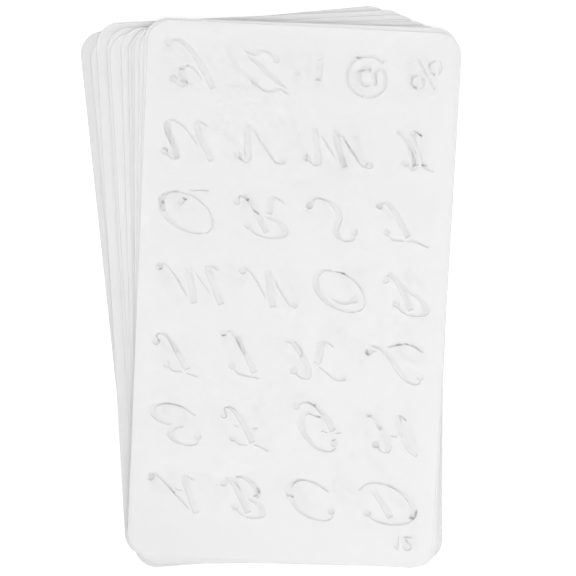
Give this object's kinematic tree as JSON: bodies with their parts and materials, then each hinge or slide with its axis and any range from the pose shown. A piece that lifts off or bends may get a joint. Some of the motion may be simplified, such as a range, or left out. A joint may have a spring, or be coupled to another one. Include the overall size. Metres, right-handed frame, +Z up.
{
  "type": "lettering stencil",
  "caption": "Fanned pile of loose translucent plastic lettering stencils, each a thin rounded sheet cut right through with one alphabet whose strokes are parted by bridges.",
  "frame": {"origin": "on the table, under the middle of the pile's bounding box", "axes": "+Z up through the pile; the sheets' long sides run along Y, with their feet rows towards +Y because the sheets lie face down; +X to the right in the picture"},
  "size_m": [0.1234, 0.1872, 0.0059],
  "materials": {
    "milky_plastic": "milky translucent polypropylene sheet, smooth with a soft sheen, cut edges a little glossier"
  },
  "bodies": {
    "sheet_01": {"sheet_01_narrow_small_letters": "milky_plastic"},
    "sheet_02": {"sheet_02_narrow_capitals": "milky_plastic"},
    "sheet_03": {"sheet_03_bold_small_letters": "milky_plastic"},
    "sheet_04": {"sheet_04_bold_capitals": "milky_plastic"},
    "sheet_05": {"sheet_05_slanted_small_letters": "milky_plastic"},
    "sheet_06": {"sheet_06_slanted_capitals": "milky_plastic"},
    "sheet_07": {"sheet_07_block_small_letters": "milky_plastic"},
    "sheet_08": {"sheet_08_block_capitals": "milky_plastic"},
    "sheet_09": {"sheet_09_upright_script_small_letters": "milky_plastic"},
    "sheet_10": {"sheet_10_upright_script_capitals": "milky_plastic"},
    "sheet_11": {"sheet_11_script_small_letters": "milky_plastic"},
    "sheet_12": {"sheet_12_script_capitals": "milky_plastic"}
  },
  "joints": [
    {"name": "lift_sheet_02", "type": "slide", "parent": "sheet_01", "child": "sheet_02", "axis": [0, 0, 1], "range_m": [0, 0.03]},
    {"name": "lift_sheet_03", "type": "slide", "parent": "sheet_02", "child": "sheet_03", "axis": [0, 0, 1], "range_m": [0, 0.03]},
    {"name": "lift_sheet_04", "type": "slide", "parent": "sheet_03", "child": "sheet_04", "axis": [0, 0, 1], "range_m": [0, 0.03]},
    {"name": "lift_sheet_05", "type": "slide", "parent": "sheet_04", "child": "sheet_05", "axis": [0, 0, 1], "range_m": [0, 0.03]},
    {"name": "lift_sheet_06", "type": "slide", "parent": "sheet_05", "child": "sheet_06", "axis": [0, 0, 1], "range_m": [0, 0.03]},
    {"name": "lift_sheet_07", "type": "slide", "parent": "sheet_06", "child": "sheet_07", "axis": [0, 0, 1], "range_m": [0, 0.03]},
    {"name": "lift_sheet_08", "type": "slide", "parent": "sheet_07", "child": "sheet_08", "axis": [0, 0, 1], "range_m": [0, 0.03]},
    {"name": "lift_sheet_09", "type": "slide", "parent": "sheet_08", "child": "sheet_09", "axis": [0, 0, 1], "range_m": [0, 0.03]},
    {"name": "lift_sheet_10", "type": "slide", "parent": "sheet_09", "child": "sheet_10", "axis": [0, 0, 1], "range_m": [0, 0.03]},
    {"name": "lift_sheet_11", "type": "slide", "parent": "sheet_10", "child": "sheet_11", "axis": [0, 0, 1], "range_m": [0, 0.03]},
    {"name": "lift_sheet_12", "type": "slide", "parent": "sheet_11", "child": "sheet_12", "axis": [0, 0, 1], "range_m": [0, 0.03]}
  ]
}
